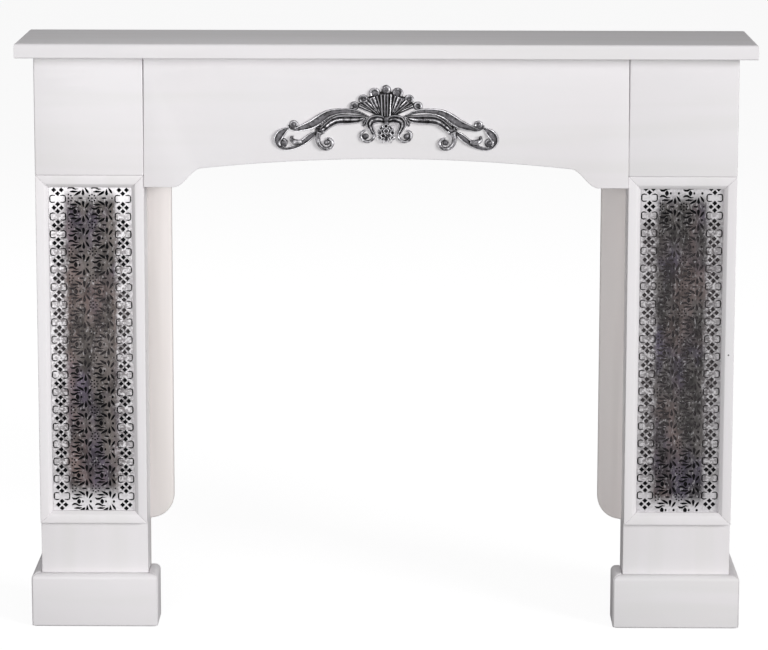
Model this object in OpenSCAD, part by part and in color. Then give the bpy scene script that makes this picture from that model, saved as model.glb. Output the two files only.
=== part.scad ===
// Fireplace mantelpiece: a free-standing painted wooden fire surround.
// Two hollow legs carry a shelf and a shaped frieze. Each leg holds a pierced
// metal sheet in a mitred frame, and a cast shell ornament sits on the frieze.
// X runs along the front, +Y goes back to the wall and +Z is up. The origin is
// on the floor, midway along the width and the depth.

/* [Overall] */
// Width of the shelf, which is the widest piece
shelf_w = 1200; // [1000:10:1500]
// Depth of the shelf from its front edge to the wall
shelf_d = 240; // [200:5:320]
// Height of the shelf's top above the floor
total_h = 976; // [800:1:1180]

/* [Shelf] */
// Thickness of the shelf board
shelf_t = 24; // [18:1:40]
// Radius of the shelf's upper edges at the front and sides
shelf_top_r = 4; // [1:0.5:8]
// Radius of the shelf's lower edges at the front and sides
shelf_under_r = 2; // [1:0.5:8]
// Distance that the shelf stands out beyond the legs at each side
shelf_side_overhang = 28; // [18:1:60]
// Distance that the shelf stands out in front of the frieze
shelf_front_overhang = 29; // [18:1:60]

/* [Frieze] */
// Height of the frieze blocks over the legs
frieze_h = 194; // [150:1:260]
// Thickness of the frieze blocks
block_t = 15; // [10:1:24]
// Thickness of the apron board
apron_t = 22; // [16:1:30]
// Distance from the floor to the apron's ears is this much under the blocks
ear_drop = 19; // [8:1:40]
// Width of each flat ear at the apron's ends
ear_w = 49; // [20:1:90]
// Width of the S-shaped rise from an ear to the arch
rise_w = 46; // [30:1:80]
// Height of the S-shaped rise
rise_h = 31.5; // [15:0.5:50]
// Height of the shallow arch over its own ends
arch_rise = 16; // [5:0.5:40]

/* [Legs] */
// Width of each leg
leg_w = 177; // [140:1:240]
// Depth of each leg's box, from its front to the front of its back board
leg_d = 62; // [45:1:90]
// Thickness of the leg boards
board_t = 15; // [10:1:20]
// Width of the wing that each back board shows inside the opening
wing_w = 40; // [15:1:70]
// Height of the wing's lower end above the floor
wing_z = 168; // [100:1:260]

/* [Plinths] */
// Height of the plinth boards
plinth_h = 90; // [60:1:140]
// Thickness of the plinth boards
plinth_t = 16.5; // [10:0.5:24]
// Radius of the plinth's upper outside edge
plinth_r = 9; // [2:0.5:10]

/* [Panel frames] */
// Height of the frames' lower edge above the floor
frame_z = 176; // [110:1:260]
// Width of each moulding
frame_w = 20.5; // [14:0.5:34]
// Thickness of each moulding
frame_t = 13; // [9:0.5:20]
// Width of the slope at the moulding's inner edge
frame_slope_w = 6; // [2:0.5:8]
// Depth of the slope at the moulding's inner edge
frame_slope_d = 5; // [2:0.5:6]
// Width of the rebate that holds the sheet
rebate_w = 6; // [3:0.5:8]

/* [Pierced sheets] */
// Thickness of the metal sheet
sheet_t = 1.2; // [0.6:0.1:1.5]
// Thickness of the dark lining behind the sheet
lining_t = 1.8; // [0.5:0.1:2]
// Height from one group of four diamonds to the next
border_pitch = 29.3; // [20:0.1:40]
// Distance of each border column from the sheet's edge in the frame
border_in = 13; // [10:0.5:20]
// Height from one row of the middle pattern to the next
row_pitch = 44; // [30:0.5:60]
// Distance between the two middle columns
column_pitch = 38.4; // [30:0.1:50]

/* [Ornament] */
// Distance from the shelf's underside down to the root of the shell
shell_root_drop = 95; // [60:1:120]
// Length of the shell's ribs
shell_r = 45; // [30:1:60]
// Radius of the curled knob at each rib's end
knob_r = 8.5; // [5:0.5:11]
// Height of the ornament's relief over the apron
relief_h = 13; // [8:0.5:20]

/* [Wall fixing] */
// Height of the rail under the shelf
rail_h = 60; // [40:1:100]
// Distance between the two screw holes
screw_spacing = 800; // [300:10:900]
// Diameter of the screw holes
screw_d = 5.5; // [4:0.5:8]

/* [Hidden] */
$fn = 48;
// Length by which cutting shapes run past a face
over = 1;
// Sides of a round in the ornament's relief
relief_fn = 8;

shelf_z = total_h - shelf_t;
front_y = -shelf_d / 2;
wall_y = shelf_d / 2;
frieze_y = front_y + shelf_front_overhang;
leg_y = frieze_y + block_t;
leg_back_y = leg_y + leg_d;
leg_out_x = shelf_w / 2 - shelf_side_overhang;
leg_in_x = leg_out_x - leg_w;
frieze_z = shelf_z - frieze_h;
ear_z = frieze_z - ear_drop;
plinth_in_x = leg_in_x - plinth_t;
plinth_out_x = leg_out_x + plinth_t;
plinth_y = leg_y - plinth_t;
frame_h = frieze_z - frame_z;
rebate_d = sheet_t + lining_t;
sheet_w = leg_w - 2 * (frame_w - rebate_w);
sheet_h = frame_h - 2 * (frame_w - rebate_w);
sheet_x = leg_in_x + frame_w - rebate_w;
sheet_z = frame_z + frame_w - rebate_w;
shell_z = shelf_z - shell_root_drop;

paint = "whitesmoke";
silver = "silver";
pewter = "slategray";
dark = "dimgray";

// ---- helpers ----

// A board whose corner nearest to the origin is at from, with the given size
module board(from, size) {
    color(paint) translate(from) cube(size);
}

// Every leg piece is drawn on the right and mirrored for the left
module on_left() {
    mirror([1, 0, 0]) children();
}

// An outline drawn across X and Z, given a thickness t going back from y
module upright(y, t) {
    translate([0, y + t, 0]) rotate([90, 0, 0]) linear_extrude(t) children();
}

// ---- shelf and rail ----

// End outline of a slab, with round edges at both ends of its width w
module slab_outline(w) {
    w_in = w / 2;
    difference() {
        translate([-w_in, 0]) square([w, shelf_t]);
        for (side = [-1, 1]) {
            corner_cut([side * w_in, shelf_t], [-side, -1], shelf_top_r);
            corner_cut([side * w_in, 0], [-side, 1], shelf_under_r);
        }
    }
}

// What a round of radius r takes off a corner at p, whose inside lies along dir
module corner_cut(p, dir, r) {
    centre = p + r * dir;
    difference() {
        translate([min(p.x - over * dir.x, centre.x), min(p.y - over * dir.y, centre.y)])
            square(r + over);
        translate(centre) circle(r);
    }
}

// The shelf: round at the front and both sides, square against the wall
module mantel_shelf() {
    color(paint) intersection() {
        translate([0, wall_y, shelf_z]) rotate([90, 0, 0])
            linear_extrude(shelf_d) slab_outline(shelf_w);
        translate([shelf_w / 2 + over, wall_y - shelf_d, shelf_z]) rotate([90, 0, -90])
            linear_extrude(shelf_w + 2 * over)
                translate([-shelf_d, 0]) slab_outline(2 * shelf_d);
    }
}

// The rail under the shelf, with two holes for wall screws
module back_rail() {
    rail_x = leg_out_x - board_t;
    color(paint) difference() {
        translate([-rail_x, wall_y - board_t, shelf_z - rail_h])
            cube([2 * rail_x, board_t, rail_h]);
        for (side = [-1, 1])
            translate([side * screw_spacing / 2, wall_y + over, shelf_z - rail_h / 2])
                rotate([90, 0, 0]) cylinder(d = screw_d, h = board_t + 2 * over);
    }
}

// ---- frieze ----

// Points of the apron's lower edge from its right end to its middle
function s_rise(n) = [
    for (i = [0 : n]) let (t = i / n)
        [leg_in_x - ear_w - t * rise_w, ear_z + rise_h * (1 - cos(180 * t)) / 2]
];

function arch(n) =
    let (half = leg_in_x - ear_w - rise_w,
         radius = (half * half + arch_rise * arch_rise) / (2 * arch_rise),
         centre_z = ear_z + rise_h + arch_rise - radius)
    [for (i = [0 : n]) let (x = half * (1 - 2 * i / n))
        [x, centre_z + sqrt(radius * radius - x * x)]];

function mirrored(points) = [
    for (i = [len(points) - 1 : -1 : 0]) [-points[i].x, points[i].y]
];

// The apron: flat ears, an S-shaped rise at each side and a shallow arch
module frieze_apron() {
    rise = concat([[leg_in_x, ear_z]], s_rise(12));
    color(paint) upright(frieze_y, apron_t)
        polygon(concat(
            [[-leg_in_x, shelf_z], [leg_in_x, shelf_z]],
            rise, arch(24), mirrored(rise)));
}

module frieze_block() {
    board([leg_in_x, frieze_y, frieze_z], [leg_w, block_t, frieze_h]);
}

// ---- legs ----

module leg_front() {
    board([leg_in_x, leg_y, 0], [leg_w, board_t, shelf_z]);
}

module leg_inner_side() {
    board([leg_in_x, leg_y + board_t, 0], [board_t, leg_d - board_t, shelf_z]);
}

module leg_outer_side() {
    board([leg_out_x - board_t, leg_y + board_t, 0],
          [board_t, wall_y - leg_y - board_t, shelf_z]);
}

// The back board: its inner edge shows as a wing with a round lower corner
module leg_back() {
    wing_x = leg_in_x - wing_w;
    color(paint) upright(leg_back_y, board_t) {
        translate([leg_in_x, 0]) square([leg_w - board_t, shelf_z]);
        translate([wing_x, wing_z + wing_w]) square([wing_w, shelf_z - wing_z - wing_w]);
        intersection() {
            translate([leg_in_x, wing_z + wing_w]) circle(wing_w);
            translate([wing_x, wing_z]) square(wing_w);
        }
    }
}

// ---- plinths ----

// End outline of a plinth board: x is 0 at its outside face, z is up
module plinth_outline() {
    difference() {
        square([plinth_t, plinth_h]);
        corner_cut([0, plinth_h], [1, -1], plinth_r);
    }
}

// The front board, mitred at both ends
module plinth_front() {
    length = plinth_out_x - plinth_in_x;
    color(paint) intersection() {
        translate([plinth_in_x, plinth_y, 0]) rotate([90, 0, 90])
            linear_extrude(length) plinth_outline();
        linear_extrude(plinth_h) polygon([
            [plinth_in_x, plinth_y], [plinth_out_x, plinth_y],
            [leg_out_x, leg_y], [leg_in_x, leg_y]]);
    }
}

// A side board of the given depth at the leg's inner side, mitred in front
module plinth_side(depth) {
    color(paint) intersection() {
        translate([plinth_in_x, plinth_y + depth, 0]) rotate([90, 0, 0])
            linear_extrude(depth) plinth_outline();
        linear_extrude(plinth_h) polygon([
            [plinth_in_x, plinth_y], [leg_in_x, leg_y],
            [leg_in_x, plinth_y + depth], [plinth_in_x, plinth_y + depth]]);
    }
}

module plinth_inner() {
    plinth_side(leg_back_y - plinth_y);
}

module plinth_outer() {
    translate([leg_in_x + leg_out_x, 0, 0]) mirror([1, 0, 0])
        plinth_side(wall_y - plinth_y);
}

// ---- panel frames ----

// End outline of a moulding: x is 0 at its outer edge, y stands out from the leg
module frame_outline() {
    polygon([
        [0, 0], [frame_w - rebate_w, 0], [frame_w - rebate_w, rebate_d],
        [frame_w, rebate_d], [frame_w, frame_t - frame_slope_d],
        [frame_w - frame_slope_w, frame_t], [0, frame_t]]);
}

// A moulding of the given length along +X whose outer edge is at z = 0,
// mitred at both ends
module moulding(length) {
    color(paint) intersection() {
        rotate([90, 0, 90]) linear_extrude(length)
            rotate(90) mirror([0, 0]) frame_outline();
        upright(-frame_t, frame_t) polygon([
            [0, 0], [length, 0], [length - frame_w, frame_w], [frame_w, frame_w]]);
    }
}

module frame_bottom() {
    translate([leg_in_x, leg_y, frame_z]) moulding(leg_w);
}

module frame_top() {
    translate([leg_out_x, leg_y, frieze_z]) rotate([0, 180, 0]) moulding(leg_w);
}

module frame_inner() {
    translate([leg_in_x, leg_y, frieze_z]) rotate([0, 90, 0]) moulding(frame_h);
}

module frame_outer() {
    translate([leg_out_x, leg_y, frame_z]) rotate([0, -90, 0]) moulding(frame_h);
}

// ---- pierced sheets ----

// A four-cornered hole at c, with its long half a turned by the given angle
function lozenge(c, a, b, angle) = [
    for (p = [[a, 0], [0, b], [-a, 0], [0, -b]])
        c + [p.x * cos(angle) - p.y * sin(angle), p.x * sin(angle) + p.y * cos(angle)]
];

// Four diamonds round c, as in the border columns
function diamond_group(c) = [
    for (d = [[6.1, 0], [0, 6.1], [-6.1, 0], [0, -6.1]]) lozenge(c + d, 3.4, 3.4, 0)
];

// The upright petals of one flower in the middle pattern, above and below c
function flower(c) = [for (side = [-1, 1]) lozenge(c + [0, side * 12.8], 4.4, 1.7, 90)];

// Heights of the rows at the given pitch that lie whole inside the sheet
function rows(pitch, margin) =
    let (count = floor((sheet_h - 2 * margin) / pitch))
    [for (i = [0 : count]) (sheet_h - count * pitch) / 2 + i * pitch];

function sheet_holes() = concat(
    [for (z = rows(border_pitch, 22), x = [rebate_w + border_in, sheet_w - rebate_w - border_in])
        each diamond_group([x, z])],
    [for (z = rows(row_pitch, 26), side = [-1, 1])
        each flower([sheet_w / 2 + side * column_pitch / 2 + 2, z])]
);

// The sheet is drawn for the right leg, from its own corner at 0,0
module perforated_sheet() {
    holes = sheet_holes();
    rim = [[0, 0], [sheet_w, 0], [sheet_w, sheet_h], [0, sheet_h]];
    color(silver) translate([sheet_x, 0, sheet_z])
        upright(leg_y - rebate_d, sheet_t)
            polygon(
                points = concat(rim, [for (hole = holes) each hole]),
                paths = concat([[0, 1, 2, 3]],
                    [for (i = [1 : len(holes)]) [for (k = [0 : 3]) 4 * i + k]]));
}

module panel_backing() {
    color(dark) translate([sheet_x, leg_y - lining_t, sheet_z])
        cube([sheet_w, lining_t, sheet_h]);
}

// ---- ornament ----

// Points of a circle's arc round c from angle a to angle b
function arc(c, r, a, b, n) = [
    for (i = [0 : n]) let (t = a + (b - a) * i / n) c + r * [cos(t), sin(t)]
];

// Points of a smooth curve from p to s, drawn towards q and r on its way
function curve(p, q, r, s, n) = [
    for (i = [0 : n]) let (t = i / n, u = 1 - t)
        u * u * u * p + 3 * u * u * t * q + 3 * u * t * t * r + t * t * t * s
];

// A raised knob on the apron, at p from the shell's root
module knob(p, r, h) {
    translate([p.x, frieze_y, shell_z + p.y]) rotate([90, 0, 0])
        cylinder(h = h, r1 = r, r2 = r * 0.45, $fn = relief_fn);
}

// A raised strand through the points, its half width going from r0 to r1
module strand(points, r0, r1, h) {
    last = len(points) - 1;
    for (i = [0 : last - 1])
        hull() {
            knob(points[i], r0 + (r1 - r0) * i / last, h);
            knob(points[i + 1], r0 + (r1 - r0) * (i + 1) / last, h);
        }
}

// The fan: ribs from the root, each ending in a curled knob
module shell() {
    rib_step = 24.6;
    flare = 8;
    for (i = [-3 : 3]) {
        angle = 90 - i * rib_step;
        reach = shell_r + flare * pow(abs(i) / 3, 4);
        tip = reach * [cos(angle), sin(angle)];
        hull() {
            knob(tip * 0.15, 3, relief_h * 0.6);
            knob(tip, knob_r * 0.8, relief_h * 0.75);
        }
        knob(tip, knob_r, relief_h);
    }
    knob([0, -5], 13.5, relief_h * 0.8);
}

// The drop of berries under the shell
module berries() {
    berry_r = 4.5;
    centre = [0, -29];
    knob(centre, 12, relief_h * 0.55);
    knob(centre, berry_r, relief_h);
    for (p = arc(centre, 8.5, 30, 330, 5)) knob(p, berry_r, relief_h * 0.9);
}

// Half of the scrollwork, on the right of the shell
module scrollwork() {
    strand_h = relief_h * 0.65;
    // Small scroll beside the berries
    strand(concat(
        curve([3, -8], [12, 4], [30, 2], [26, -22], 5),
        arc([31, -34], 8.5, 120, 400, 7)), 3.6, 2.8, strand_h);
    knob([32.5, -34], 5, relief_h * 0.8);
    // Upper arm with its curled end
    strand(curve([30, 0], [62, 12], [106, 8], [141, -19], 8), 6, 6.5, strand_h);
    strand(arc([150.5, -13], 8, -135, 165, 8), 4, 2.6, strand_h);
    knob([150.5, -13], 5.7, relief_h * 0.8);
    // Lower arm, its knob and the scroll that hangs from it
    strand(curve([30, -8], [52, -3], [85, -4], [106.7, -21.6], 6), 4.5, 4.8, strand_h);
    knob([106.7, -21.6], 7.5, relief_h);
    strand(concat([[107, -25]], arc([99.5, -44], 9.5, 45, -240, 8)), 4, 2.8, strand_h);
    knob([98, -42.5], 5.5, relief_h * 0.8);
    // Long leaf that loops round the outer end
    strand(curve([112, -22], [130, -34], [145, -47], [164, -48.5], 6), 5, 4.5, strand_h);
    strand(arc([168, -36], 12, -100, 140, 7), 4, 3, strand_h);
    knob([167.5, -38.5], 8, relief_h * 0.8);
    // Small leaf inside the loop
    strand(concat([[139, -41]], arc([151.5, -35.5], 5.5, 190, -50, 5)), 3.5, 2, strand_h);
}

module frieze_ornament() {
    color(pewter) union() {
        shell();
        berries();
        scrollwork();
        on_left() scrollwork();
    }
}

// ---- the pieces ----

mantel_shelf();
back_rail();
frieze_apron();
on_left() frieze_block();  // frieze_block_left
frieze_block();  // frieze_block_right
on_left() leg_front();  // leg_front_left
leg_front();  // leg_front_right
on_left() leg_inner_side();  // leg_inner_side_left
leg_inner_side();  // leg_inner_side_right
on_left() leg_outer_side();  // leg_outer_side_left
leg_outer_side();  // leg_outer_side_right
on_left() leg_back();  // leg_back_left
leg_back();  // leg_back_right
on_left() frame_top();  // panel_frame_left_top
on_left() frame_bottom();  // panel_frame_left_bottom
on_left() frame_inner();  // panel_frame_left_inner
on_left() frame_outer();  // panel_frame_left_outer
frame_top();  // panel_frame_right_top
frame_bottom();  // panel_frame_right_bottom
frame_inner();  // panel_frame_right_inner
frame_outer();  // panel_frame_right_outer
on_left() perforated_sheet();  // perforated_sheet_left
perforated_sheet();  // perforated_sheet_right
on_left() panel_backing();  // panel_backing_left
panel_backing();  // panel_backing_right
on_left() plinth_front();  // plinth_left_front
on_left() plinth_inner();  // plinth_left_inner
on_left() plinth_outer();  // plinth_left_outer
plinth_front();  // plinth_right_front
plinth_inner();  // plinth_right_inner
plinth_outer();  // plinth_right_outer
frieze_ornament();
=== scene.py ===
from math import ceil, cos, hypot, pi, radians, sin
import bpy
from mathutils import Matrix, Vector
from mathutils.bvhtree import BVHTree


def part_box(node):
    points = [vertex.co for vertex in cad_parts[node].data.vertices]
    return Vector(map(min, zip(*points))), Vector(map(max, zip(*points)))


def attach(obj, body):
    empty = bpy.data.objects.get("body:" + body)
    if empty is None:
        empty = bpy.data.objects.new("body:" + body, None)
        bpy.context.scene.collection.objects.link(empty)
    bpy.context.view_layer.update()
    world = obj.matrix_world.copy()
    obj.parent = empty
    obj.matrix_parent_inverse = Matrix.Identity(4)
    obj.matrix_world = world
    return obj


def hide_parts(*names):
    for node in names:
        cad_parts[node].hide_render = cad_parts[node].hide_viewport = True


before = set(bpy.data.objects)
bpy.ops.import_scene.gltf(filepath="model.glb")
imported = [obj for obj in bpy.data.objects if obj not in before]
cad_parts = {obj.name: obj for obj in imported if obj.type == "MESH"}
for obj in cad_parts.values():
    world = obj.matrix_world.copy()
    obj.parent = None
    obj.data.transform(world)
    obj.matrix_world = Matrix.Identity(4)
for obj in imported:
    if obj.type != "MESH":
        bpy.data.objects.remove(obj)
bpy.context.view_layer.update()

MM = 0.001

# ---------------------------------------------------------------- scene helpers


def select_only(*objects):
    """Selects these objects and makes the first one active."""
    bpy.ops.object.select_all(action="DESELECT")
    for one in objects:
        one.select_set(True)
    bpy.context.view_layer.objects.active = objects[0]


def apply_modifier(piece, kind, **settings):
    """Adds a modifier with the given settings and applies it."""
    select_only(piece)
    modifier = piece.modifiers.new(kind.title(), kind)
    for name, value in settings.items():
        setattr(modifier, name, value)
    bpy.ops.object.modifier_apply(modifier=modifier.name)


def add_object(name, data):
    """Puts new data in the scene as an object, and selects it."""
    made = bpy.data.objects.new(name, data)
    bpy.context.scene.collection.objects.link(made)
    select_only(made)
    return made


def settle(piece):
    """Puts the piece's place, turn and size into its mesh."""
    select_only(piece)
    bpy.ops.object.transform_apply(location=True, rotation=True, scale=True)


def tidy_mesh(piece, merge=0.01 * MM, flatten=False):
    """Merges doubled points, can join level faces, and turns every face outward."""
    select_only(piece)
    bpy.ops.object.mode_set(mode="EDIT")
    bpy.ops.mesh.select_all(action="SELECT")
    bpy.ops.mesh.remove_doubles(threshold=merge)
    if flatten:
        bpy.ops.mesh.dissolve_limited(angle_limit=radians(0.5))
    bpy.ops.mesh.normals_make_consistent(inside=False)
    bpy.ops.object.mode_set(mode="OBJECT")


def join(pieces, name):
    """Joins two or more pieces into one object with the given name."""
    select_only(*pieces)
    bpy.ops.object.join()
    joined = bpy.context.object
    joined.name = joined.data.name = name
    return joined


def finish_piece(piece, material, node, smooth=35):
    """Gives a finished piece its surface and lets it stand for its CAD node."""
    select_only(piece)
    bpy.ops.object.shade_smooth_by_angle(angle=radians(smooth))
    piece.data.materials.clear()
    piece.data.materials.append(material)
    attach(piece, "root")
    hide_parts(node)


# ---------------------------------------------------------------- shader helpers


def new_material(name):
    """An empty material, with its nodes, its Principled shader and its links."""
    material = bpy.data.materials.new(name)
    material.use_nodes = True
    tree = material.node_tree
    return material, tree, tree.nodes["Principled BSDF"]


def fill_inputs(tree, node, inputs):
    """Sets or links a node's inputs, which are values or other nodes' outputs."""
    for key, value in inputs.items():
        if isinstance(value, bpy.types.NodeSocket):
            tree.links.new(value, node.inputs[key])
        else:
            node.inputs[key].default_value = value


def add_node(tree, kind, inputs=None, **settings):
    """Adds a shader node. Its inputs are given by name or number."""
    node = tree.nodes.new(kind)
    for name, value in settings.items():
        setattr(node, name, value)
    fill_inputs(tree, node, inputs or {})
    return node


def add_math(tree, operation, a, b=0.0, c=0.0, clamp=False):
    """Adds a Math node and returns its output."""
    return add_node(tree, "ShaderNodeMath", {0: a, 1: b, 2: c},
                    operation=operation, use_clamp=clamp).outputs[0]


def add_mix(tree, factor, a, b, blend="MIX"):
    """Adds a colour Mix node, whose colours are inputs 6 and 7, and returns its output."""
    inputs = {"Factor": factor, 6: a, 7: b}
    return add_node(tree, "ShaderNodeMix", inputs,
                    data_type="RGBA", blend_type=blend).outputs[2]


def add_range(tree, value, low, high, to_low=0.0, to_high=1.0):
    """Adds a smooth Map Range node and returns its output."""
    inputs = {"Value": value, "From Min": low, "From Max": high,
              "To Min": to_low, "To Max": to_high}
    return add_node(tree, "ShaderNodeMapRange", inputs,
                    interpolation_type="SMOOTHSTEP").outputs["Result"]


def add_noise(tree, vector, scale, detail, roughness):
    """Adds a Noise node and returns its value output."""
    inputs = {"Vector": vector, "Scale": scale, "Detail": detail,
              "Roughness": roughness}
    return add_node(tree, "ShaderNodeTexNoise", inputs).outputs["Fac"]


def add_attribute(tree, name):
    """Reads one of the piece's own values, stored on its points."""
    return add_node(tree, "ShaderNodeAttribute", attribute_name=name).outputs["Fac"]


def add_bump(tree, shader, height, strength, distance):
    """Gives a shader fine relief from a height that changes over the surface."""
    bump = add_node(tree, "ShaderNodeBump", {
        "Height": height, "Strength": strength, "Distance": distance})
    tree.links.new(bump.outputs["Normal"], shader.inputs["Normal"])


def object_coords(tree, stretch=(1, 1, 1)):
    """Object coordinates, stretched by the given scale."""
    coords = add_node(tree, "ShaderNodeTexCoord").outputs["Object"]
    inputs = {"Vector": coords, "Scale": stretch}
    return add_node(tree, "ShaderNodeMapping", inputs).outputs["Vector"]


def split_axes(tree, coords):
    """The X, Y and Z of some coordinates."""
    return add_node(tree, "ShaderNodeSeparateXYZ", {0: coords}).outputs


def new_group(name, inputs, outputs):
    """A shader node group with named inputs and outputs."""
    group = bpy.data.node_groups.new(name, "ShaderNodeTree")
    for label, kind, default in inputs:
        socket = group.interface.new_socket(label, in_out="INPUT", socket_type=kind)
        socket.default_value = default
    for label, kind in outputs:
        group.interface.new_socket(label, in_out="OUTPUT", socket_type=kind)
    start = group.nodes.new("NodeGroupInput").outputs
    end = group.nodes.new("NodeGroupOutput").inputs
    return group, start, end


def use_group(tree, group, inputs):
    """Places a node group in a material with its own values."""
    return add_node(tree, "ShaderNodeGroup", inputs, node_tree=group).outputs


# ---------------------------------------------------------------- shared effects

COLOUR, VALUE, VECTOR = "NodeSocketColor", "NodeSocketFloat", "NodeSocketVector"
PINK_TINT, GREEN_TINT = (1, 0.985, 0.99, 1), (0.985, 0.995, 1, 1)
VIOLET_TARNISH = (0.115, 0.105, 0.135, 1)
BROWN_TARNISH = (0.20, 0.165, 0.145, 1)
GREY_TARNISH = (0.145, 0.140, 0.125, 1)


def brushed_paint_group():
    """Paint laid on with a brush: streaks along the grain and soft cloudy tints."""
    group, start, end = new_group(
        "brushed_paint",
        [("Colour", COLOUR, (1, 1, 1, 1)), ("Streak Colour", COLOUR, (1, 1, 1, 1)),
         ("Grain Coordinates", VECTOR, (0, 0, 0)), ("Streak Strength", VALUE, 0.5)],
        [("Colour", COLOUR), ("Roughness", VALUE), ("Height", VALUE)])
    grain = start["Grain Coordinates"]
    brush_marks = add_noise(group, grain, scale=26, detail=2, roughness=0.5)
    bristles = add_noise(group, grain, scale=160, detail=3, roughness=0.6)
    cloud = add_noise(group, object_coords(group), scale=7, detail=2, roughness=0.5)
    streak = add_range(group, brush_marks, 0.42, 0.68)
    streak = add_math(group, "MULTIPLY", streak, start["Streak Strength"], clamp=True)
    colour = add_mix(group, streak, start["Colour"], start["Streak Colour"])
    tint = add_mix(group, cloud, PINK_TINT, GREEN_TINT)
    colour = add_mix(group, 1.0, colour, tint, "MULTIPLY")
    group.links.new(colour, end["Colour"])
    group.links.new(add_range(group, bristles, 0.3, 0.7, 0.38, 0.52), end["Roughness"])
    height = add_math(group, "ADD", add_math(group, "MULTIPLY", bristles, 0.6), brush_marks)
    group.links.new(height, end["Height"])
    return group


def tarnish_group():
    """Tarnish on silvered metal: drifting tones, and flecks where the metal is bare."""
    group, start, end = new_group(
        "tarnish",
        [("Coordinates", VECTOR, (0, 0, 0)), ("Scale", VALUE, 10.0)],
        [("Colour", COLOUR), ("Flecks", VALUE)])
    where, scale = start["Coordinates"], start["Scale"]
    elsewhere = add_node(group, "ShaderNodeVectorMath",
                         {0: where, 1: (3.7, 1.9, 8.3)}).outputs["Vector"]
    small_scale = add_math(group, "MULTIPLY", scale, 1.6)
    mottle_scale = add_math(group, "MULTIPLY", scale, 5.0)
    fleck_scale = add_math(group, "MULTIPLY", scale, 21.0)
    broad_drift = add_noise(group, where, scale, detail=3, roughness=0.55)
    small_drift = add_noise(group, elsewhere, small_scale, detail=3, roughness=0.55)
    mottle = add_noise(group, elsewhere, mottle_scale, detail=4, roughness=0.6)
    flecks = add_noise(group, where, fleck_scale, detail=3, roughness=0.7)
    tone = add_mix(group, add_range(group, broad_drift, 0.4, 0.6),
                   VIOLET_TARNISH, BROWN_TARNISH)
    tone = add_mix(group, add_range(group, small_drift, 0.42, 0.62), tone, GREY_TARNISH)
    depth = add_range(group, mottle, 0.3, 0.7, 0.45, 1.6)
    depth = add_node(group, "ShaderNodeCombineColor",
                     {0: depth, 1: depth, 2: depth}).outputs[0]
    colour = add_mix(group, 1.0, tone, depth, "MULTIPLY")
    group.links.new(colour, end["Colour"])
    group.links.new(add_range(group, flecks, 0.53, 0.64), end["Flecks"])
    return group


BRUSHED_PAINT = brushed_paint_group()
TARNISH = tarnish_group()

# ---------------------------------------------------------------- materials

WHITE, WHITE_STREAK = (0.86, 0.84, 0.85, 1), (0.81, 0.80, 0.79, 1)
WARM, WARM_STREAK = (0.87, 0.825, 0.805, 1), (0.78, 0.74, 0.715, 1)
NAIL_HEAD = (0.09, 0.08, 0.09, 1)
SILVER, SOILED_SILVER = (0.82, 0.80, 0.82, 1), (0.20, 0.185, 0.19, 1)
LEFT_FIELD_TONE, RIGHT_FIELD_TONE = (0.80, 0.72, 0.76, 1), (0.55, 0.52, 0.57, 1)
BLACK_WASH, PEWTER_GREY = (0.007, 0.006, 0.007, 1), (0.165, 0.16, 0.172, 1)
RUBBED_AND_HIGHLIT_PEWTER = (0.80, 0.79, 0.82, 1)
BLACK_CLOTH, LINING_GREY = (0.005, 0.005, 0.006, 1), (0.075, 0.066, 0.068, 1)

ALONG_X, ALONG_Z = (0.06, 1, 1), (1, 1, 0.06)   # stretches for grain along X or Z

FIELD_HALF = 36 * MM        # half the width of the tarnished field on a sheet
FIELD_FADE = 11 * MM        # how softly the field ends at its sides
FIELD_WANDER = 16 * MM      # how far its sides stray in and out
RIM_START, RIM_END = 50 * MM, 68 * MM           # from the middle, where the rim gets cleaner

NAIL_RISE = 287 * MM        # nail marks above the foot of the frames
NAIL_IN_LEG, NAIL_IN_FRAME = 8 * MM, 9 * MM     # behind the leg's front, in from the side
NAIL_CORE, NAIL_EDGE = 0.8 * MM, 1.8 * MM


def painted_wood(name, colour, streak_colour, grain, strength, nails=()):
    """Satin paint over smooth boards, brushed along the grain, with nail marks."""
    material, tree, shader = new_material(name)
    paint = use_group(tree, BRUSHED_PAINT, {
        "Colour": colour, "Streak Colour": streak_colour,
        "Grain Coordinates": object_coords(tree, grain),
        "Streak Strength": strength})
    surface = paint["Colour"]
    for nail in nails:
        away = add_node(tree, "ShaderNodeVectorMath", {
            0: object_coords(tree), 1: nail}, operation="DISTANCE").outputs["Value"]
        clear = add_range(tree, away, NAIL_CORE, NAIL_EDGE)
        surface = add_mix(tree, clear, NAIL_HEAD, surface)
    tree.links.new(surface, shader.inputs["Base Color"])
    tree.links.new(paint["Roughness"], shader.inputs["Roughness"])
    add_bump(tree, shader, paint["Height"], strength=0.12, distance=0.4 * MM)
    shader.inputs["Specular IOR Level"].default_value = 0.35
    return material


def on_right(tree, axes):
    """1 on the right half of the fireplace and 0 on the left half."""
    return add_math(tree, "GREATER_THAN", axes["X"], 0.0)


def between_ends(tree, axes, left, right):
    """1 along the middle of the left and right sheets, fading to 0 towards their ends.

    Each sheet's limits are four millimetre values: how far under its top the 0 ends,
    how long the fade is there, and the same two above its foot.
    """
    low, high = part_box("perforated_sheet_right")
    masks = []
    for top, top_fade, foot, foot_fade in (left, right):
        top_end, foot_end = high.z - top * MM, low.z + foot * MM
        under_top = add_range(tree, axes["Z"], top_end - top_fade * MM, top_end, 1.0, 0.0)
        above_foot = add_range(tree, axes["Z"], foot_end, foot_end + foot_fade * MM)
        masks.append(add_math(tree, "MULTIPLY", under_top, above_foot))
    return add_node(tree, "ShaderNodeMix", {
        "Factor": on_right(tree, axes), "A": masks[0], "B": masks[1]}).outputs[0]


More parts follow.
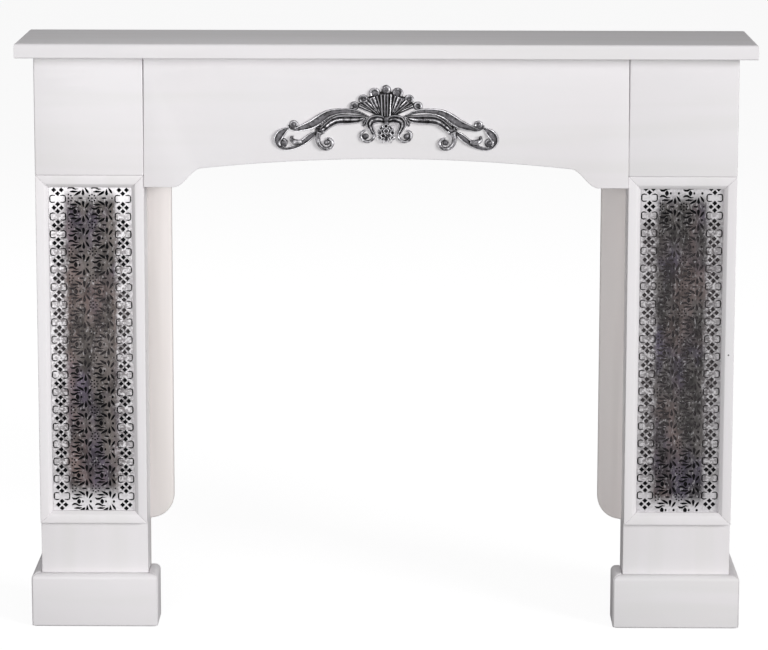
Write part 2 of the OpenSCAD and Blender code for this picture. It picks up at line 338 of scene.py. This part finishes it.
def from_sheet_middle(tree, axes):
    """How far a point lies to the side of its sheet's upright middle line."""
    low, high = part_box("perforated_sheet_right")
    from_centre = add_math(tree, "ABSOLUTE", axes["X"])
    offset = add_math(tree, "SUBTRACT", from_centre, (low.x + high.x) / 2)
    return add_math(tree, "ABSOLUTE", offset)


def pierced_metal():
    """Silvered sheet: bright at its rim, tarnished dark down its middle."""
    material, tree, shader = new_material("tarnished_silver_sheet")
    coords = object_coords(tree)
    axes = split_axes(tree, coords)
    across = from_sheet_middle(tree, axes)
    cloud = add_noise(tree, coords, scale=60, detail=4, roughness=0.62)
    speck = add_noise(tree, coords, scale=260, detail=3, roughness=0.65)
    tarnish = use_group(tree, TARNISH, {
        "Coordinates": object_coords(tree, (1, 1, 0.45)), "Scale": 14.0})

    wander = add_math(tree, "MULTIPLY", add_math(tree, "SUBTRACT", cloud, 0.5), FIELD_WANDER)
    side = add_range(tree, add_math(tree, "ADD", across, wander),
                     FIELD_HALF, FIELD_HALF + FIELD_FADE, 1.0, 0.0)
    field = add_math(tree, "MULTIPLY", side, between_ends(
        tree, axes, left=(0, 40, 20, 34), right=(6, 30, 12, 24)))
    bare = add_math(tree, "MULTIPLY", tarnish["Flecks"], 0.45)
    dark = add_math(tree, "MULTIPLY", field, add_math(tree, "SUBTRACT", 1.0, bare))

    soil = add_range(tree, speck, 0.42, 0.66, 0.0, 0.25)
    creep = add_math(tree, "MULTIPLY", add_range(tree, across, RIM_START, RIM_END, 1.0, 0.55),
                     between_ends(tree, axes, left=(0, 80, 0, 80), right=(10, 70, 10, 70)))
    creep = add_math(tree, "MULTIPLY", creep, add_range(tree, speck, 0.38, 0.56, 0.2, 1.0))
    silver = add_mix(tree, add_math(tree, "MAXIMUM", soil, creep), SILVER, SOILED_SILVER)
    # each sheet's tarnish is multiplied by its own tone, much darker on the right sheet than
    # on the left
    field_tone = add_mix(tree, on_right(tree, axes), LEFT_FIELD_TONE, RIGHT_FIELD_TONE)
    field_tone = add_mix(tree, 1.0, tarnish["Colour"], field_tone, "MULTIPLY")
    colour = add_mix(tree, dark, silver, field_tone)
    tree.links.new(colour, shader.inputs["Base Color"])
    tree.links.new(add_range(tree, dark, 0.0, 1.0, 0.42, 0.6), shader.inputs["Roughness"])
    add_bump(tree, shader, cloud, strength=0.2, distance=0.3 * MM)
    shader.inputs["Metallic"].default_value = 0.45
    return material


def cast_pewter():
    """Antiqued casting: bright crests over a black wash in its hollows; the crests are partly
    rubbed metal and partly a painted highlight.
    """
    material, tree, shader = new_material("antiqued_pewter")
    openness = add_attribute(tree, "openness")
    sharpness = add_attribute(tree, "sharpness")
    mottle = add_noise(tree, object_coords(tree), scale=150, detail=4, roughness=0.68)
    uneven = add_math(tree, "SUBTRACT", mottle, 0.5)
    level = add_math(tree, "MULTIPLY_ADD", uneven, 1.7, openness)
    crest = add_math(tree, "MULTIPLY_ADD", uneven, 0.9, sharpness)
    # sharp, open crests are brightened, partly as rubbed metal and partly as a painted
    # highlight
    rubbed_and_highlight = add_math(tree, "MULTIPLY", add_range(tree, crest, 0.14, 0.36),
                      add_range(tree, openness, 0.55, 0.85))
    colour = add_mix(tree, add_range(tree, level, 0.45, 1.0), BLACK_WASH, PEWTER_GREY)
    colour = add_mix(tree, rubbed_and_highlight, colour, RUBBED_AND_HIGHLIT_PEWTER)
    tree.links.new(colour, shader.inputs["Base Color"])
    tree.links.new(add_range(tree, rubbed_and_highlight, 0.0, 1.0, 0.5, 0.3), shader.inputs["Roughness"])
    add_bump(tree, shader, mottle, strength=0.5, distance=0.5 * MM)
    shader.inputs["Metallic"].default_value = 0.6
    return material


def black_lining():
    """Matt black lining behind the holes, greyer towards its middle."""
    material, tree, shader = new_material("black_lining")
    coords = object_coords(tree)
    nap = add_noise(tree, coords, scale=500, detail=3, roughness=0.6)
    # grey over the black towards the middle of each sheet's height, broken up by fine noise
    greyer = between_ends(tree, split_axes(tree, coords),
                         left=(120, 70, 220, 60), right=(40, 60, 70, 80))
    greyer = add_math(tree, "MULTIPLY", greyer, add_range(tree, nap, 0.35, 0.65, 0.25, 1.0))
    tree.links.new(add_mix(tree, greyer, BLACK_CLOTH, LINING_GREY), shader.inputs["Base Color"])
    shader.inputs["Roughness"].default_value = 0.9
    shader.inputs["Specular IOR Level"].default_value = 0.1
    return material


def nail_marks():
    """Where two nails show: in the left leg's inner side and in the right frame."""
    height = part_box("panel_frame_left_inner")[0].z + NAIL_RISE
    leg_face, leg_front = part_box("leg_inner_side_left")[1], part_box("leg_front_left")[0]
    frame_low, frame_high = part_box("panel_frame_right_outer")
    return [(leg_face.x, leg_front.y + NAIL_IN_LEG, height),
            (frame_high.x - NAIL_IN_FRAME, frame_low.y, height)]


PAINT_ACROSS = painted_wood("white_paint_across", WHITE, WHITE_STREAK, ALONG_X, 0.5)
PAINT_UPRIGHT = painted_wood("white_paint_upright", WHITE, WHITE_STREAK, ALONG_Z, 0.5,
                             nail_marks())
PAINT_BACK = painted_wood("thin_paint_upright", WARM, WARM_STREAK, ALONG_Z, 1.0)
SILVER_SHEET = pierced_metal()
PEWTER = cast_pewter()
LINING = black_lining()

# ---------------------------------------------------------------- boards

# each kind of board: the paint that suits its grain, and its edges' rounding in millimetres
BOARDS = {
    "mantel_shelf": (PAINT_ACROSS, 0.6), "back_rail": (PAINT_ACROSS, 0.8),
    "frieze_block": (PAINT_ACROSS, 2.2), "leg_front": (PAINT_UPRIGHT, 1.0),
    "leg_inner_side": (PAINT_UPRIGHT, 1.0), "leg_outer_side": (PAINT_UPRIGHT, 1.0),
    "leg_back": (PAINT_BACK, 3.0), "panel_frame": (PAINT_UPRIGHT, 1.2),
    "plinth": (PAINT_ACROSS, 3.6)}
APRON_EASE = 1.2 * MM
APRON_GAP = 1.4 * MM        # each end joint's width at the top


def board_from(node):
    """A new piece with the shape of a CAD board, as clean flat faces."""
    piece = add_object(node + "_board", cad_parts[node].data.copy())
    bpy.ops.mesh.customdata_custom_splitnormals_clear()
    tidy_mesh(piece, flatten=True)
    return piece


def ease_edges(piece, radius):
    """Rounds the sharp edges a little, as sanding and paint leave them."""
    apply_modifier(piece, "BEVEL", width=radius, segments=3, limit_method="ANGLE",
                   angle_limit=radians(30), use_clamp_overlap=True)


def paint_boards():
    """Every painted board but the apron, with eased edges."""
    for node in sorted(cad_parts):
        for kind, (paint, radius) in BOARDS.items():
            if node.startswith(kind):
                piece = board_from(node)
                ease_edges(piece, radius * MM)
                finish_piece(piece, paint, node)


def apron_board():
    """The apron, a hair narrower at its top, so that its end joints open upward."""
    piece = board_from("frieze_apron")
    low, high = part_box("frieze_apron")
    for vertex in piece.data.vertices:
        if abs(abs(vertex.co.x) - high.x) < 0.1 * MM:
            rise = (vertex.co.z - low.z) / (high.z - low.z)
            vertex.co.x *= 1 - APRON_GAP * rise / high.x
    ease_edges(piece, APRON_EASE)
    finish_piece(piece, PAINT_ACROSS, "frieze_apron")


# ---------------------------------------------------------------- pierced sheets

# all in millimetres, on a sheet that is drawn flat from its lower left corner
LAP = 6.0                   # how far a frame covers the sheet's rim
UNCUT = 0.8                 # the least metal left along the sheet's edge
BORDER_IN = 14.7            # from the frame's inner edge to the middle of a border
BORDER_PITCH = 29.3
DIAMOND_HALF = 4.3
DIAMOND_ACROSS, DIAMOND_UP = 6.1, 5.9           # from a group's middle to its diamonds
FIELD_IN = 29.9             # from the frame's inner edge to the flowered field
FLOWER_IN = 41.7            # from the middle of the left border to a flower's heart
ROW_PITCH, COLUMN_PITCH = 44.2, 38.4
ROSETTE_X, ROSETTE_R, ROSETTE_HOLES = 14.5, 5.8, 8


def oval(x, z, long_half, short_half, corners=12):
    """Outline of an oval hole; 4 corners make a diamond."""
    return [(x + long_half * cos(2 * pi * i / corners),
             z + short_half * sin(2 * pi * i / corners)) for i in range(corners)]


def bent_slot(path, widths):
    """Outline of a bent slot along a path, with a width at each point."""
    left, right = [], []
    for i, (x, z) in enumerate(path):
        before = path[max(i - 1, 0)]
        after = path[min(i + 1, len(path) - 1)]
        dx, dz = after[0] - before[0], after[1] - before[1]
        half = widths[i] / 2 / hypot(dx, dz)
        left.append((x - dz * half, z + dx * half))
        right.append((x + dz * half, z - dx * half))
    return left + right[::-1]


def border_group():
    """Four diamonds in a square."""
    places = [(side * DIAMOND_ACROSS, 0) for side in (1, -1)]
    places += [(0, side * DIAMOND_UP) for side in (1, -1)]
    return [oval(x, z, DIAMOND_HALF, DIAMOND_HALF, corners=4) for x, z in places]


def border_brackets():
    """The two brackets that frame the plain field between two groups."""
    upper = [(4.4, 5.3), (9.0, 6.0), (12.0, 5.0), (12.7, 2.6)]
    widths = [1.2, 2.3, 2.0, 2.2]
    path = upper + [(x, -z) for x, z in reversed(upper)]
    return [bent_slot([(side * x, z) for x, z in path], widths + widths[::-1])
            for side in (-1, 1)]


def flower():
    """The petals and strokes round a flower's heart."""
    strokes = [
        ([(0, 6.6), (0, 10.0), (0, 14.5), (0, 17.6)], [0.7, 3.1, 5.2, 2.6]),
        ([(2.8, 4.6), (4.9, 7.8), (7.3, 11.6), (9.0, 14.4)], [0.7, 3.4, 4.0, 1.1]),
        ([(-3.4, 10.2), (-5.6, 12.6), (-10, 15.3), (-14.6, 17.8)], [0.9, 4.3, 4.0, 1.1]),
        ([(-8.2, 10.5), (-12.5, 11.4), (-17, 11.2), (-21.8, 11.8)], [0.6, 3.2, 3.9, 1.2]),
        ([(-7.8, 6.9), (-13.0, 7.3), (-18.4, 4.3), (-22.0, 4.4), (-25.3, 6.4)],
         [0.7, 2.5, 3.8, 3.8, 1.2])]
    heart = bent_slot([(-13.5, z) for z in (4.6, 1.6, -1.6, -4.6)], [1.2, 6.2, 6.2, 1.2])
    holes = [oval(6.0, 0, 2.1, 2.3, corners=10), oval(-7.2, 0, 1.7, 2.2, corners=10), heart]
    for path, widths in strokes:
        holes += [bent_slot([(x, end * z) for x, z in path], widths) for end in (-1, 1)]
    return holes


def filling():
    """What lies between two rows: a long oval and a rosette of round holes."""
    holes = [oval(-4.3, 0, 4.1, 1.6), oval(ROSETTE_X, 0, 1.6, 1.6, corners=8)]
    for i in range(ROSETTE_HOLES):
        a = 2 * pi * i / ROSETTE_HOLES
        holes.append(oval(ROSETTE_X + ROSETTE_R * cos(a), ROSETTE_R * sin(a),
                          1.5, 1.5, corners=8))
    return holes


def border_holes(width, height, top_group):
    """Diamonds and brackets down both borders, as (outline, x, z)."""
    placed = []
    for i in range(-1, ceil(height / BORDER_PITCH) + 1):
        z = height - LAP - top_group - i * BORDER_PITCH
        for x in (LAP + BORDER_IN, width - LAP - BORDER_IN):
            placed += [(hole, x, z) for hole in border_group()]
            placed += [(hole, x, z - BORDER_PITCH / 2) for hole in border_brackets()]
    return placed


def field_holes(height, top_row):
    """Flowers in rows, with the filling between the rows, as (outline, x, z)."""
    placed = []
    for i in range(-1, ceil(height / ROW_PITCH) + 1):
        z = height - LAP - top_row - i * ROW_PITCH
        for column in range(-1, 3):
            x = LAP + BORDER_IN + FLOWER_IN + column * COLUMN_PITCH
            placed += [(hole, x, z) for hole in flower()]
            placed += [(hole, x, z - ROW_PITCH / 2) for hole in filling()]
    return placed


def sheet_pattern(width, height, top_group, top_row):
    """Outlines of all the holes that lie wholly inside their part of the sheet."""
    holes = []
    for placed, inset in ((border_holes(width, height, top_group), UNCUT),
                          (field_holes(height, top_row), LAP + FIELD_IN)):
        for hole, x, z in placed:
            outline = [(x + u, z + v) for u, v in hole]
            if all(inset < u < width - inset and UNCUT < v < height - UNCUT
                   for u, v in outline):
                holes.append(outline)
    return holes


def add_outline(curve, points):
    """Adds one closed straight-sided outline to a flat curve."""
    spline = curve.splines.new("POLY")
    spline.points.add(len(points) - 1)
    for point, (x, y) in zip(spline.points, points):
        point.co = (x, y, 0, 1)
    spline.use_cyclic_u = True


def flat_plate(name, outlines, thick):
    """A plate round its own middle height; outlines inside the first one are holes."""
    curve = bpy.data.curves.new(name, "CURVE")
    curve.dimensions = "2D"
    curve.fill_mode = "BOTH"
    curve.extrude = thick / 2
    for outline in outlines:
        add_outline(curve, outline)
    plate = add_object(name, curve)
    bpy.ops.object.convert(target="MESH")
    return plate


def pierced_sheet(side, top_group, top_row):
    """A sheet with its whole pattern cut through.

    top_group and top_row place one group of diamonds and one row of flowers, in
    millimetres under the frame's inner edge. The others follow at their pitch.
    """
    node = "perforated_sheet_" + side
    low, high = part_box(node)
    width, thick, height = (high - low) / MM
    rim = [(0, 0), (width, 0), (width, height), (0, height)]
    holes = sheet_pattern(width, height, top_group, top_row)
    sheet = flat_plate(node + "_pattern", [rim] + holes, thick)
    sheet.scale = (MM, MM, MM)
    sheet.rotation_euler = (pi / 2, 0, 0)
    sheet.location = (low.x, (low.y + high.y) / 2, low.z)
    settle(sheet)
    tidy_mesh(sheet)
    finish_piece(sheet, SILVER_SHEET, node)


def line_sheets():
    """The black linings behind the sheets, which keep their CAD shape."""
    for side in ("left", "right"):
        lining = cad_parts["panel_backing_" + side]
        lining.data.materials.clear()
        lining.data.materials.append(LINING)


# ---------------------------------------------------------------- ornament

# drawn flat in millimetres, with x to the right and z up from a point under the shell
DRAWING_DROP = 95 * MM      # from the shelf down to that point
DRAWING_SQUASH = 0.97       # the casting's height as a share of its drawing's
WEAR_REACH, WEAR_RAYS = 9.0, 14                 # length and number of rays from a point
WEAR_LIFT = 0.03            # a ray's start above the point, as a share of its reach
WEAR_FAR_HIT = 0.7          # how open a hit at a ray's far end still counts
GOLDEN_ANGLE = 2.4          # radians, so that turns never line up

# half of each strand's cross-section, for a half width of 1: across, and up
BROAD = [(1.0, -0.1), (1.0, 0.25), (0.93, 0.72), (0.80, 0.95), (0.68, 0.86),
         (0.58, 0.58), (0.44, 0.48), (0.26, 0.60), (0.10, 0.70)]
FLAT = [(1.0, -0.1), (1.0, 0.35), (0.94, 0.68), (0.84, 0.84), (0.72, 0.84),
        (0.62, 0.70), (0.55, 0.48), (0.30, 0.52), (0.12, 0.54)]
FLUTED = [(1.0, -0.1), (1.0, 0.3), (0.95, 0.58), (0.87, 0.72), (0.78, 0.70),
          (0.70, 0.50), (0.62, 0.28), (0.46, 0.28), (0.38, 0.50), (0.28, 0.64),
          (0.18, 0.52), (0.08, 0.30)]
FINE = [(1.0, -0.1), (1.0, 0.6), (0.85, 1.35), (0.5, 1.95), (0.15, 2.1)]


def section(name, outline):
    """A strand's cross-section as a curve object; its other half mirrors this one."""
    curve = bpy.data.curves.new(name, "CURVE")
    curve.dimensions = "2D"
    add_outline(curve, outline + [(-x, y) for x, y in reversed(outline)])
    return add_object(name, curve)


def flow(points, steps=6):
    """Points of a smooth line through the given (x, z, half width) points."""
    padded = [points[0]] + points + [points[-1]]
    line = []
    for i in range(1, len(padded) - 2):
        p, q, r, s = padded[i - 1:i + 3]
        for k in range(steps):
            t = k / steps
            line.append([0.5 * (2 * b + (c - a) * t + (2 * a - 5 * b + 4 * c - d) * t * t
                                + (3 * b - a - 3 * c + d) * t * t * t)
                         for a, b, c, d in zip(p, q, r, s)])
    return line + [list(points[-1])]


def strand(points, shape):
    """A strand of the casting along a smooth line, thick as its points say."""
    curve = bpy.data.curves.new("strand", "CURVE")
    curve.dimensions = "2D"
    curve.fill_mode = "NONE"
    curve.bevel_mode = "OBJECT"
    curve.bevel_object = shape
    curve.use_fill_caps = True
    spline = curve.splines.new("POLY")
    line = flow(points)
    spline.points.add(len(line) - 1)
    for point, (x, z, half) in zip(spline.points, line):
        point.co = (x, z, 0, 1)
        point.radius = half
    made = add_object("strand", curve)
    bpy.ops.object.convert(target="MESH")
    return made


def ball(x, z, r, height, flat=0.8):
    """A round boss whose middle stands at the given height."""
    bpy.ops.mesh.primitive_uv_sphere_add(segments=24, ring_count=14, radius=r,
                                         location=(x, z, height))
    made = bpy.context.object
    made.scale.z = flat
    settle(made)
    return made


def ring(x, z, r, thick, height):
    """A raised ring."""
    bpy.ops.mesh.primitive_torus_add(major_segments=24, minor_segments=12,
                                     major_radius=r, minor_radius=thick,
                                     location=(x, z, height))
    return bpy.context.object


def curl(x, z, r, start, turn, shape, thick, ball_r):
    """A curled end: a strand that winds inward, thinning, round a small ball.

    The strand starts and turns by the given degrees and has the given half width.
    """
    steps, wound_in, thinned = 11, 0.3, 0.35
    points = []
    for i in range(steps + 1):
        t = i / steps
        a, away = radians(start + turn * t), r * (1 - wound_in * t)
        points.append((x + away * cos(a), z + away * sin(a), thick * (1 - thinned * t)))
    return [strand(points, shape), ball(x, z, ball_r, 3.2)]


def ground(outline, height):
    """A low flat ground with the given outline, under the relief."""
    made = flat_plate("ground", [outline], height)
    made.location.z = height / 2
    settle(made)
    return made


def shell(broad, fluted, fine):
    """The fan: a broad fluted rib, three ribs on each side, and their curled ends."""
    half_rim = [(0, 43), (18.5, 39), (37, 27), (49, 18), (14, 2), (8, -3)]
    rim = [(-x, z) for x, z in reversed(half_rim[1:])] + half_rim
    ribs = [[(9.0, 2, 2.4), (14.5, 16, 5.4), (20.5, 32, 7.6)],
            [(10.0, 2, 2.2), (21, 14, 4.6), (33, 26.5, 6.4)],
            [(11, 1, 2.0), (27, 9.2, 3.4), (43.5, 17.2, 4.6)]]
    ends = [(18.4, 39.0, 7.2), (36.8, 28.4, 6.2), (51.2, 17.2, 5.8)]
    top_z = 44.3
    pieces = [ground(rim, 2.2),
              strand([(0, -1, 7.6), (0, 18, 8.6), (0, 36.5, 9.8)], fluted),
              ball(0, -5, 4.6, 3.5, 0.7), ball(0, -12, 4.6, 3.0, 0.7),
              ball(0, top_z, 8.0, 1.0, 0.45)]
    pieces += curl(0, top_z, 5.4, -70, 320, fine, 2.4, 2.4)
    for side in (-1, 1):
        for rib in ribs:
            pieces.append(strand([(side * x, z, half) for x, z, half in rib], broad))
        for x, z, r in ends:
            pieces.append(ball(side * x, z, r + 1.6, 1.0, 0.45))
            pieces += curl(side * x, z, r, 90 - side * 130, side * 340, fine, 2.6,
                           r * 0.42)
    return pieces


def berries():
    """The drop of berries under the shell: pitted rings on a low round ground."""
    in_line = [(0, -16.5, 3.6), (0, -24.8, 4.2), (0, -39.6, 3.8)]
    beside = [(8.36, -19.5, 3.8), (10.34, -27.8, 3.8), (4.84, -32.6, 4.0),
              (10.56, -36.2, 3.6), (6.16, -42.4, 2.8)]
    in_pairs = [(side * x, z, r) for x, z, r in beside for side in (-1, 1)]
    pieces = [ball(0, -29, 14.0, 0.0, 0.33)]
    pieces += [ring(x, z, r * 0.92, r * 0.21, 5.4) for x, z, r in in_line + in_pairs]
    return pieces


def pearl_edge():
    """A row of small pearls that bends down between the two arms."""
    pearls = 9
    row = []
    for i in range(pearls):
        t = i / (pearls - 1)
        row.append(ball(87.5 + 27 * t, -3.4 - 3 * t - 16 * t * t, 1.5, 6.2))
    return row


def half_scrollwork(broad, flat, fine):
    """The scrollwork on the right of the shell."""
    arch = [(3.0, -8.6, 4.4), (8.0, -5.6, 6.8), (15.4, -5.0, 7.8), (23.6, -8.0, 7.8),
            (26.4, -15.0, 6.4), (23.4, -23.2, 4.6), (20.2, -30.7, 3.2)]
    roll = [(21.0, -27, 1.8), (19.4, -32.5, 2.2), (21.8, -38.6, 2.5), (28.0, -42.8, 2.7),
            (35.5, -41.4, 2.7), (40.4, -35.5, 2.5), (39.4, -28.0, 2.6), (33.5, -24.0, 1.8)]
    upper = [(28.6, -1.2, 1.6), (45.8, 5.8, 3.6), (62.9, 8.4, 4.6), (83.5, 6.6, 5.8),
             (96.9, 1.9, 7.1), (107.2, -5.1, 8.1), (117.5, -12.2, 8.0),
             (127.8, -16.9, 6.9), (138.0, -20.4, 5.1), (147.0, -23.0, 3.4),
             (155.2, -20.6, 2.6), (158.6, -14.6, 1.8)]
    lower = [(33.0, -2.6, 3.6), (45.8, -5.4, 6.8), (63.0, -5.8, 8.4), (76.7, -6.4, 8.3),
             (87.0, -10.0, 7.4), (96.0, -16.8, 6.6), (104.0, -24.0, 6.0)]
    scroll = [(108.5, -27.0, 4.6), (110.8, -37.0, 4.0), (109.2, -46.5, 3.8),
              (103.5, -53.0, 3.5), (96.4, -55.2, 3.2), (89.6, -52.0, 3.0),
              (87.2, -45.0, 2.8), (90.6, -39.4, 2.5), (96.5, -38.0, 1.9)]
    leaf = [(110.0, -25.5, 2.2), (121.0, -33.0, 5.0), (131.0, -41.3, 5.4),
            (141.0, -48.3, 4.5), (152.0, -53.2, 3.5), (163.0, -55.2, 3.0),
            (171.0, -52.4, 3.6), (175.8, -46.0, 5.2), (175.4, -37.0, 7.2),
            (170.4, -29.4, 7.2), (164.0, -23.8, 4.4), (158.5, -20.8, 1.8)]
    hook = [(137.0, -43.4, 3.2), (147.0, -43.8, 4.6), (153.0, -40.6, 3.6),
            (153.2, -36.0, 2.8)]
    spur = [(31.0, -5.0, 5.0), (35.0, -11.5, 4.2), (37.6, -18.0, 1.4)]
    pieces = [strand(line, broad) for line in (arch, lower, spur)]
    pieces += [strand(line, flat) for line in (upper, leaf)]
    pieces += [strand(line, fine) for line in (roll, scroll, hook)]
    pieces += curl(106.5, -23.8, 6.2, 200, 350, fine, 2.3, 3.4)
    pieces += curl(167.6, -45.2, 6.4, -50, 320, fine, 2.2, 3.4)
    pieces += curl(150.1, -14.4, 5.6, 200, -380, fine, 2.2, 3.0)
    pieces += curl(92.6, -14.8, 3.8, 0, 340, fine, 1.7, 1.9)
    pieces += [ball(33.1, -34.0, 5.0, 3.0, 0.75), ball(96.4, -44.6, 4.8, 3.0, 0.75),
               ball(150.1, -14.4, 7.2, 1.0, 0.45), ball(106.5, -23.8, 8.0, 1.0, 0.45),
               ball(153.2, -35.6, 2.8, 4.6), ball(167.6, -45.2, 8.0, 1.0, 0.4)]
    return pieces + pearl_edge()


def mirrored_copy(piece):
    """A copy on the other side of the middle, with its own mesh."""
    select_only(piece)
    bpy.ops.object.duplicate()
    twin = bpy.context.object
    twin.scale.x = -1
    settle(twin)
    tidy_mesh(twin)
    return twin


def dome_of_rays():
    """Directions spread evenly over the dome above a point, along +Z."""
    rays = []
    for i in range(WEAR_RAYS):
        up = (i + 0.7) / WEAR_RAYS      # never quite level
        out = (1 - up * up) ** 0.5
        rays.append(Vector((cos(GOLDEN_ANGLE * i) * out, sin(GOLDEN_ANGLE * i) * out, up)))
    return rays


def measure_openness(mesh):
    """For each point, 1 where nothing stands near it, and less in a hollow."""
    tree = BVHTree.FromPolygons([v.co for v in mesh.vertices],
                                [p.vertices for p in mesh.polygons])
    rays = dome_of_rays()
    openness = []
    for vertex in mesh.vertices:
        turn = vertex.normal.to_track_quat("Z", "Y")
        start = vertex.co + vertex.normal * WEAR_REACH * WEAR_LIFT
        total = 0.0
        for ray in rays:
            place, _, _, away = tree.ray_cast(start, turn @ ray, WEAR_REACH)
            total += 1.0 if place is None else WEAR_FAR_HIT * away / WEAR_REACH
        openness.append(total / WEAR_RAYS)
    return openness


def measure_sharpness(mesh):
    """For each point, how steeply its steepest edge falls away from it."""
    sharpness = [0.0] * len(mesh.vertices)
    for edge in mesh.edges:
        for here, there in (edge.vertices, reversed(edge.vertices)):
            a, b = mesh.vertices[here], mesh.vertices[there]
            fall = (a.co - b.co).normalized().dot(a.normal)
            sharpness[here] = max(sharpness[here], fall)
    return sharpness


def mark_wear_and_highlight(piece):
    """Stores openness and sharpness on the points, for the dark wash and for the crests'
    rubbing and painted highlight.
    """
    for name, measure in (("openness", measure_openness), ("sharpness", measure_sharpness)):
        values = measure(piece.data)
        layer = piece.data.attributes.new(name, "FLOAT", "POINT")
        layer.data.foreach_set("value", values)


def cast_ornament():
    """The whole casting, laid on the apron."""
    broad, flat = section("broad_section", BROAD), section("flat_section", FLAT)
    fluted, fine = section("fluted_section", FLUTED), section("fine_section", FINE)
    half = join(half_scrollwork(broad, flat, fine), "half_scrollwork")
    tidy_mesh(half, merge=0.005)
    middle = join(shell(broad, fluted, fine) + berries(), "middle")
    tidy_mesh(middle, merge=0.005)
    casting = join([middle, half, mirrored_copy(half)], "cast_ornament")
    for shape in (broad, flat, fluted, fine):
        bpy.data.objects.remove(shape)
    for vertex in casting.data.vertices:
        vertex.co.z = max(vertex.co.z, 0.0)
    mark_wear_and_highlight(casting)
    apron_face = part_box("frieze_ornament")[1].y
    root_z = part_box("mantel_shelf")[0].z - DRAWING_DROP
    casting.scale = (MM, DRAWING_SQUASH * MM, MM)
    casting.rotation_euler = (pi / 2, 0, 0)
    casting.location = (0, apron_face, root_z)
    settle(casting)
    finish_piece(casting, PEWTER, "frieze_ornament", smooth=50)


# ---------------------------------------------------------------- stage

FLOOR_SIZE, FLOOR_SHIFT = 80, 15                # the floor reaches far behind
FLOOR_GREY, FLOOR_GLOW = (0.3, 0.3, 0.3, 1), 0.86
SKY_LIGHT, SKY_STRENGTH = (1, 0.99, 1, 1), 0.245
SKY_SEEN = (1, 1, 1, 1)
AIM_HIGH, AIM_MIDDLE = (0, 0, 0.7), (0, 0, 0.5)

CAMERA_LENS = 164.9
CAMERA_PLACE = (0.035, -5.769, 1.542)
CAMERA_TILT = radians(90 - 10.28)               # from straight down
CAMERA_ROLL, CAMERA_TURN = radians(-0.1), radians(0.4)


def pale_floor():
    """A pale floor that takes soft shadows and looks evenly bright."""
    bpy.ops.mesh.primitive_plane_add(size=FLOOR_SIZE, location=(0, FLOOR_SHIFT, 0))
    floor = bpy.context.object
    floor.name = "studio_floor"
    material, tree, shader = new_material("studio_floor")
    shader.inputs["Base Color"].default_value = FLOOR_GREY
    shader.inputs["Roughness"].default_value = 0.9
    shader.inputs["Specular IOR Level"].default_value = 0.0
    shader.inputs["Emission Color"].default_value = (1, 1, 1, 1)
    seen = add_node(tree, "ShaderNodeLightPath").outputs["Is Camera Ray"]
    glow = add_math(tree, "MULTIPLY", seen, FLOOR_GLOW)
    tree.links.new(glow, shader.inputs["Emission Strength"])
    floor.data.materials.append(material)


def soft_sky():
    """An even soft light from all round, behind a plain white backdrop."""
    world = bpy.data.worlds.new("studio")
    world.use_nodes = True
    tree = world.node_tree
    lit = tree.nodes["Background"]
    lit.inputs["Color"].default_value = SKY_LIGHT
    lit.inputs["Strength"].default_value = SKY_STRENGTH
    bright = add_node(tree, "ShaderNodeBackground", {"Color": SKY_SEEN})
    seen = add_node(tree, "ShaderNodeLightPath").outputs["Is Camera Ray"]
    mixed = add_node(tree, "ShaderNodeMixShader", {
        0: seen, 1: lit.outputs[0], 2: bright.outputs[0]})
    tree.links.new(mixed.outputs[0], tree.nodes["World Output"].inputs["Surface"])
    bpy.context.scene.world = world


def add_light(name, place, target, size, power):
    """A square soft light aimed at a point."""
    light = bpy.data.lights.new(name, "AREA")
    light.size = size
    light.energy = power
    made = add_object(name, light)
    made.location = place
    aim = Vector(target) - Vector(place)
    made.rotation_euler = aim.to_track_quat("-Z", "Y").to_euler()


def studio():
    """The floor, the sky, and soft lights far right, near left and behind."""
    pale_floor()
    soft_sky()
    add_light("key_light", (10.4, -9.4, 3.8), AIM_MIDDLE, size=5.0, power=1215)
    add_light("fill_light", (-1.0, -3.2, 0.8), AIM_MIDDLE, size=1.6, power=41)
    add_light("rear_light", (-0.6, 3.4, 3.6), AIM_HIGH, size=1.6, power=26)


def camera():
    """A long lens a little above the shelf, turned slightly down."""
    lens = bpy.data.cameras.new("camera")
    lens.lens = CAMERA_LENS
    made = add_object("camera", lens)
    made.location = CAMERA_PLACE
    made.rotation_euler = (CAMERA_TILT, CAMERA_ROLL, CAMERA_TURN)
    bpy.context.scene.camera = made


# ---------------------------------------------------------------- build

paint_boards()
apron_board()
pierced_sheet("left", top_group=4.9, top_row=-3.8)
pierced_sheet("right", top_group=0.5, top_row=7.8)
cast_ornament()
line_sheets()
studio()
camera()
bpy.context.scene.view_settings.view_transform = "Standard"
